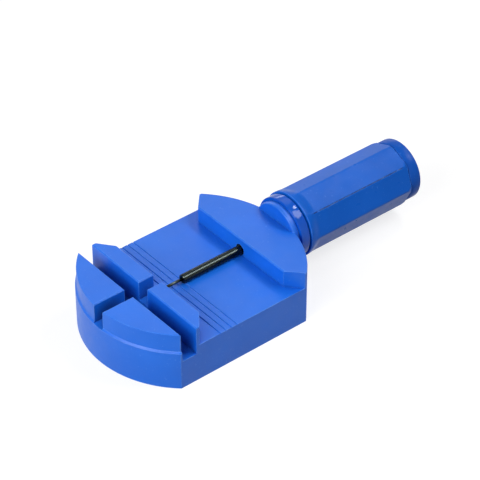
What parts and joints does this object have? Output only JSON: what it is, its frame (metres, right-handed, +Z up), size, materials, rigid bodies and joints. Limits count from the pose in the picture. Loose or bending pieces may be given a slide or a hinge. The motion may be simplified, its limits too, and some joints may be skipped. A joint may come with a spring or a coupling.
{
  "type": "watch link remover",
  "caption": "Hand tool with a slotted moulded bed and a screw-fed pin, turned by a faceted hollow handle, for pushing pins out of watch bands.",
  "frame": {"origin": "on the underside, on the middle plane, below the rear face of the inner wall", "axes": "+X along the spindle towards the handle, +Y across the bed, +Z up"},
  "size_m": [0.1044, 0.044, 0.0225],
  "materials": {
    "blue_satin": "satin moulded",
    "blue_gloss": "polished moulded",
    "black_steel": "black oxide",
    "bright_steel": "zinc plated"
  },
  "bodies": {
    "body": {"base_body": "blue_satin", "collar_bush": "blue_gloss", "feed_nut": "bright_steel"},
    "pusher": {"pusher_pin": "black_steel"},
    "handle": {"spindle": "black_steel", "lock_washer": "bright_steel", "lock_nut": "bright_steel", "handle_barrel": "blue_satin"},
    "cap": {"end_cap": "blue_satin", "spare_pin_1": "black_steel", "spare_pin_2": "black_steel", "spare_pin_3": "black_steel"}
  },
  "joints": [
    {"name": "spindle_feed", "type": "slide", "parent": "body", "child": "pusher", "axis": [1, 0, 0], "range_m": [-0.0002, 0.02475]},
    {"name": "handle_turn", "type": "hinge", "parent": "pusher", "child": "handle", "pos_m": [0.0445, 0, 0.0129], "axis": [1, 0, 0], "range_deg": [-160, 19800]},
    {"name": "cap_pull", "type": "slide", "parent": "handle", "child": "cap", "axis": [1, 0, 0], "range_m": [0, 0.014]}
  ],
  "couplings": [
    {"joint": "spindle_feed", "follows": "handle_turn", "m_per_rad": 0.00007162}
  ]
}
